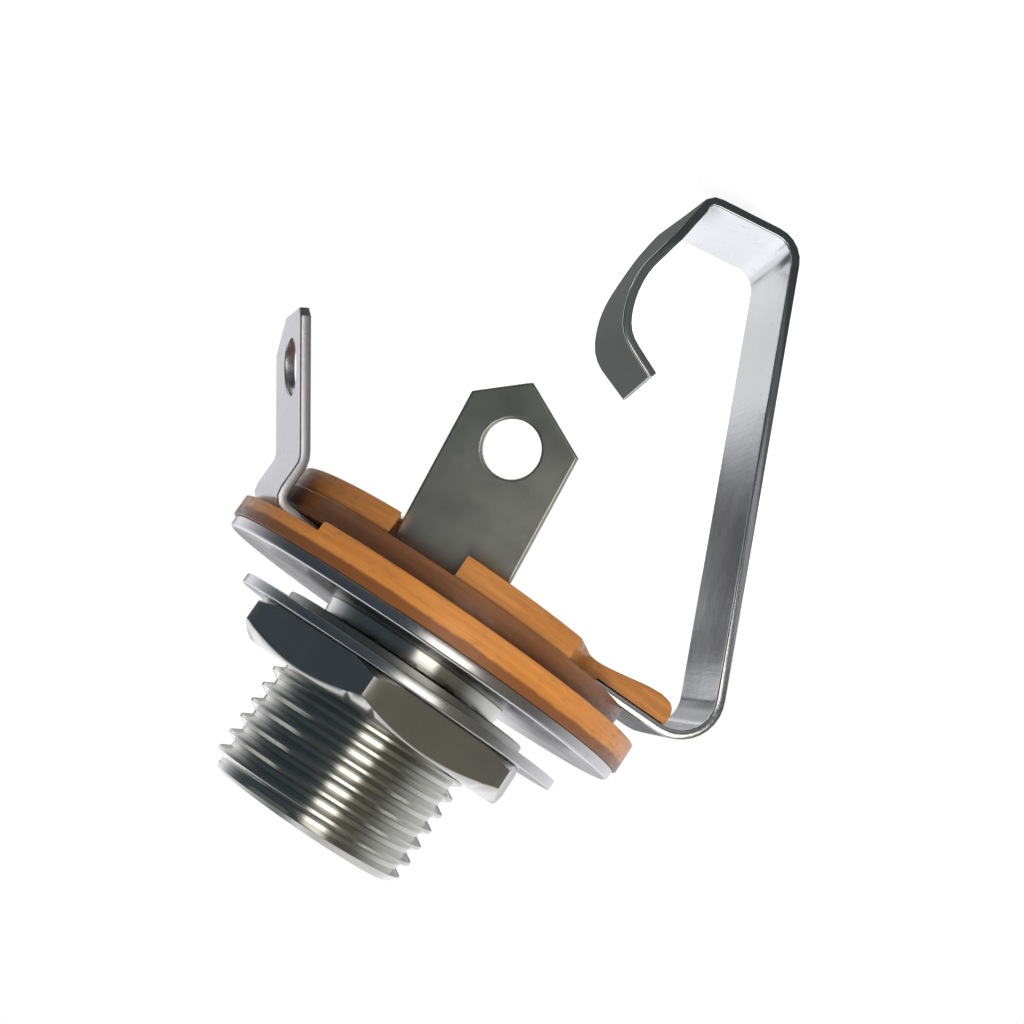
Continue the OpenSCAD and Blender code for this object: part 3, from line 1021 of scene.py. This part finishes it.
def make_spring():
    """One strip for the ring, the root, the arm and the hook, with its end cut a little aslant."""
    path = Path((STRIP_START, D_SPRING + SPRING_T / 2), SPRING_STEPS)
    half = SPRING_W / 2
    end = STRIP_START + path.length
    outline = ring_outline(SPRING_RING_R, half) + [(end + 0.1, -half), (end - 0.05, half)]
    ob = sheet("tip_spring_strip", [outline, circle(TUBE_R + FIT)], SPRING_T, askew(along(path, SPRING_AZ)),
               MAT["spring"], (0.06, 0.06), step=0.35, grid=0.7, cuts=path.cuts(5.0))
    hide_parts("tip_spring_root", "tip_spring_arm")
    turned(BLEND_R, SPRING_AZ, BLEND_START_Z)
    turned(BLEND_R, SPRING_AZ, BLEND_END_Z)
    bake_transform(ob)


make_spring()


def dress_tube():
    """The hidden tube keeps its solid and gets the look of paper."""
    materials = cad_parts["insulating_tube"].data.materials
    materials.clear()
    materials.append(MAT["tube"])


dress_tube()


# stage and light
# the floor lies below the lowest point that the hook reaches when the spring is swung out
FLOOR_DROP = 1.5
FLOOR_Z = cad_box[0].z / MM - FLOOR_DROP
FLOOR_HALF = 85.0
FLOOR_GLOW = 0.62
# share of the glow that mirrors see
FLOOR_MIRRORED = 0.35


def stage_mesh(name, verts, faces, mat):
    """A piece of the stage, from points in metres."""
    me = bpy.data.meshes.new(name)
    me.from_pydata(verts, [], faces)
    me.materials.append(mat)
    ob = bpy.data.objects.new(name, me)
    bpy.context.scene.collection.objects.link(ob)
    return ob


def only_mirrored(ob):
    """Leaves a piece of the stage in sight of glossy rays alone."""
    ob.visible_camera = False
    ob.visible_diffuse = False
    ob.visible_shadow = False
    ob.visible_transmission = False
    ob.visible_volume_scatter = False


def make_floor():
    """A pale floor that glows enough to be white to the camera, and less so in mirrors."""
    n = Nodes("white_floor")
    path = n.node("LightPath")
    seen = n.math("MAXIMUM", path.outputs["Is Camera Ray"], path.outputs["Is Transmission Ray"])
    seen = n.math("MAXIMUM", seen, n.math("MULTIPLY", path.outputs["Is Glossy Ray"], FLOOR_MIRRORED))
    diffuse = n.node("BsdfDiffuse")
    diffuse.inputs["Color"].default_value = (0.85, 0.85, 0.85, 1.0)
    both = n.node("AddShader")
    n.link(diffuse.outputs[0], both.inputs[0])
    n.link(n.glow((1.0, 1.0, 1.0), n.math("MULTIPLY", seen, FLOOR_GLOW)), both.inputs[1])
    n.link(both.outputs[0], n.out.inputs[0])
    corners = rectangle(-FLOOR_HALF, FLOOR_HALF, -FLOOR_HALF, FLOOR_HALF)
    stage_mesh("floor", [Vector((x, y, FLOOR_Z)) * MM for x, y in corners], [(0, 1, 2, 3)], n.mat)


def make_world():
    """White all round: full strength to the camera, less as light, and out of sight of mirrors."""
    world = bpy.data.worlds.new("studio")
    bpy.context.scene.world = world
    world.use_nodes = True
    tree = world.node_tree
    tree.nodes.clear()
    out = tree.nodes.new("ShaderNodeOutputWorld")
    background = tree.nodes.new("ShaderNodeBackground")
    path = tree.nodes.new("ShaderNodeLightPath")
    seen = tree.nodes.new("ShaderNodeMath")
    seen.operation = "MAXIMUM"
    tree.links.new(path.outputs["Is Camera Ray"], seen.inputs[0])
    tree.links.new(path.outputs["Is Transmission Ray"], seen.inputs[1])
    strength = tree.nodes.new("ShaderNodeMapRange")
    strength.inputs["To Min"].default_value = 0.6
    strength.inputs["To Max"].default_value = 1.0
    tree.links.new(seen.outputs[0], strength.inputs["Value"])
    background.inputs["Color"].default_value = (1.0, 1.0, 1.0, 1.0)
    tree.links.new(strength.outputs[0], background.inputs["Strength"])
    tree.links.new(background.outputs[0], out.inputs[0])
    world.cycles_visibility.glossy = False


# the room that the metal mirrors, round the horizon from straight behind over the +X side to the
# camera in the middle and on over the -X side: (degrees from the camera towards -X, colour)
ROOM = [(-180, (0.95, 0.95, 0.98)), (-140, (0.96, 0.96, 0.98)), (-120, (0.44, 0.45, 0.48)),
        (-104, (0.14, 0.15, 0.16)), (-90, (0.065, 0.075, 0.08)), (-78, (0.048, 0.062, 0.074)),
        (0, (0.046, 0.060, 0.070)), (20, (0.09, 0.085, 0.07)), (28, (0.165, 0.15, 0.12)),
        (44, (0.15, 0.142, 0.11)), (62, (0.125, 0.122, 0.11)), (72, (0.20, 0.20, 0.19)),
        (82, (0.36, 0.36, 0.35)), (92, (0.50, 0.50, 0.50)), (106, (0.70, 0.70, 0.71)),
        (122, (0.85, 0.85, 0.87)), (180, (0.95, 0.95, 0.98))]
# the window in front and the sill below it, as soft edges in degrees across and up
WINDOW_ACROSS = ((-4.0, 1.0), (24.0, 29.0))
WINDOW_UP = ((-6.5, -5.0), (35.0, 50.0))
WINDOW_COLOUR = (0.95, 0.93, 0.86)
WINDOW_EXTRA = 1.1
SILL_UP = (None, (-7.5, -6.0))
SILL_COLOUR = (0.12, 0.125, 0.12)
# the dark strip along the horizon behind: (degrees of height, how dark), the most height that this
# covers, its soft ends and its colour
HORIZON = [(-8.5, 0.0), (-7.5, 0.08), (-6.6, 0.25), (-5.8, 0.45), (-4.95, 0.70), (-4.1, 0.90),
           (-3.3, 0.97), (-2.4, 1.0), (1.9, 1.0), (2.9, 0.92), (3.6, 0.40), (5.2, 0.0)]
HORIZON_REACH = 9.0
HORIZON_ENDS = ((178.0, 180.0), (-156.4, -155.2))
HORIZON_COLOUR = (0.08, 0.08, 0.08)
# patches over these, later ones over earlier ones: soft edges across, soft edges up, colour
PATCHES = [
    # dark over the horizon straight behind, for the face of the plate
    ((None, (-171.0, -168.0)), ((-2.0, 0.0), (7.0, 9.0)), (0.09, 0.095, 0.09)),
    # grey low down behind, for the bend at the root of the spring
    (((-174.0, -170.0), (-162.4, -161.8)), (None, (0.5, 2.0)), (0.42, 0.42, 0.43)),
    # darker on the other side of straight behind, for the foot of the spring
    (((166.0, 169.0), (174.0, 176.0)), (None, (7.0, 10.0)), (0.18, 0.18, 0.18)),
    # pale overhead
    ((None, None), ((78.0, 88.0), None), (0.9, 0.92, 0.95)),
]
# a brighter sky above the horizon behind
SKY_UP = (11.0, 15.0)
SKY_ACROSS = (150.0, 165.0)
SKY_EXTRA = 0.3
DOME_R = 0.4


def dome(radius, rows, columns):
    """Points and faces of a sphere."""
    verts = []
    for i in range(rows + 1):
        up = math.pi * (i / rows - 0.5)
        for j in range(columns):
            turn = TAU * j / columns
            verts.append((radius * math.cos(turn) * math.cos(up), radius * math.sin(turn) * math.cos(up),
                          radius * math.sin(up)))
    faces = []
    for i in range(rows):
        for j, k in loop_edges(0, columns):
            faces.append((i * columns + j, i * columns + k, (i + 1) * columns + k, (i + 1) * columns + j))
    return verts, faces


def make_room():
    """A dome that only mirrors see: dark in front with a window in it, pale at the back."""
    n = Nodes("mirrored_room")
    x, y, z = n.split(n.coords())
    turn = n.degrees(n.math("MULTIPLY", x, -1.0), n.math("MULTIPLY", y, -1.0))
    flat = n.math("SQRT", n.math("ADD", n.math("MULTIPLY", x, x), n.math("MULTIPLY", y, y)))
    height = n.degrees(z, flat)
    colour = n.ramp(n.range(turn, -180.0, 180.0, 0.0, 1.0), [((a + 180.0) / 360.0, c) for a, c in ROOM])
    sill = n.zone((turn, *WINDOW_ACROSS), (height, *SILL_UP))
    window = n.zone((turn, *WINDOW_ACROSS), (height, *WINDOW_UP))
    colour = n.mix(sill, colour, SILL_COLOUR)
    colour = n.mix(window, colour, WINDOW_COLOUR)
    reach = HORIZON_REACH
    stops = [((h + reach) / (2 * reach), (k, k, k)) for h, k in HORIZON]
    strip = n.ramp(n.range(height, -reach, reach, 0.0, 1.0), stops)
    behind = n.math("ADD", n.zone((turn, HORIZON_ENDS[0], None)), n.zone((turn, None, HORIZON_ENDS[1])))
    colour = n.mix(n.math("MULTIPLY", strip, behind), colour, HORIZON_COLOUR)
    for across, up, tint in PATCHES:
        colour = n.mix(n.zone((turn, *across), (height, *up)), colour, tint)
    sky = n.zone((height, SKY_UP, None), (n.math("ABSOLUTE", turn), SKY_ACROSS, None))
    strength = n.math("MULTIPLY_ADD", sky, SKY_EXTRA, 1.0)
    strength = n.math("MULTIPLY_ADD", window, WINDOW_EXTRA, strength)
    n.link(n.glow(colour, strength), n.out.inputs[0])
    only_mirrored(stage_mesh("mirrored_room", *dome(DOME_R, 24, 48), n.mat))


def dark_card(name, corners, colour):
    """A card that only mirrors see, with its corners in mm."""
    n = Nodes(name)
    n.link(n.glow(colour), n.out.inputs[0])
    only_mirrored(stage_mesh(name, [Vector(c) * MM for c in corners], [tuple(range(len(corners)))], n.mat))


# the cards lie a little over the floor, and the paler edge_card lies over the front_card
CARD_Z = FLOOR_Z + 0.02
EDGE_CARD_Z = FLOOR_Z + 0.05
# rectangles in x and y at a height, and their colour
FLOOR_CARDS = {
    "front_card": ((-140, 140, -140, -18), CARD_Z, (0.12, 0.125, 0.12)),
    "edge_card": ((-50, -12, -90, -37), EDGE_CARD_Z, (0.33, 0.32, 0.34)),
    "near_card": ((-40, 40, -18, -3), CARD_Z, (0.055, 0.06, 0.06)),
    "back_card": ((-60, 0, 13, 160), CARD_Z, (0.40, 0.40, 0.41)),
}
# the cards behind and below the hook: outlines in x and z, and in x and y
HOOK_CARD_Y = 12
HOOK_COLOUR = (0.13, 0.135, 0.13)
HOOK_CARD = [(2.7, CARD_Z), (9, CARD_Z), (9, -8), (-0.5, -8), (-0.5, -18), (2.7, -18)]
HOOK_FLOOR_CARD = [(-1, -2.9), (9, -2.9), (9, HOOK_CARD_Y), (1.1, HOOK_CARD_Y), (1.1, 6), (-1, 6)]


def make_cards():
    """Dark and grey cards on the floor in front and behind, and behind and below the spring's hook."""
    for name, (extent, z, colour) in FLOOR_CARDS.items():
        dark_card(name, [(x, y, z) for x, y in rectangle(*extent)], colour)
    dark_card("hook_card", [(x, HOOK_CARD_Y, z) for x, z in HOOK_CARD], HOOK_COLOUR)
    dark_card("hook_floor_card", [(x, y, CARD_Z) for x, y in HOOK_FLOOR_CARD], HOOK_COLOUR)


def make_key_light():
    """A soft light above and behind the camera, on the -X side, that mirrors don't see."""
    place, target = Vector((-0.06, -0.14, 0.06)), Vector((0, 0, -0.005))
    data = bpy.data.lights.new("key", "AREA")
    data.shape = "RECTANGLE"
    data.size = 0.07
    data.size_y = 0.07
    data.energy = 0.26
    ob = bpy.data.objects.new("key", data)
    bpy.context.scene.collection.objects.link(ob)
    ob.location = place
    ob.visible_glossy = False
    ob.rotation_euler = (target - place).to_track_quat("-Z", "Y").to_euler()


make_floor()
make_world()
make_room()
make_cards()
make_key_light()

bpy.context.scene.view_settings.view_transform = "Standard"
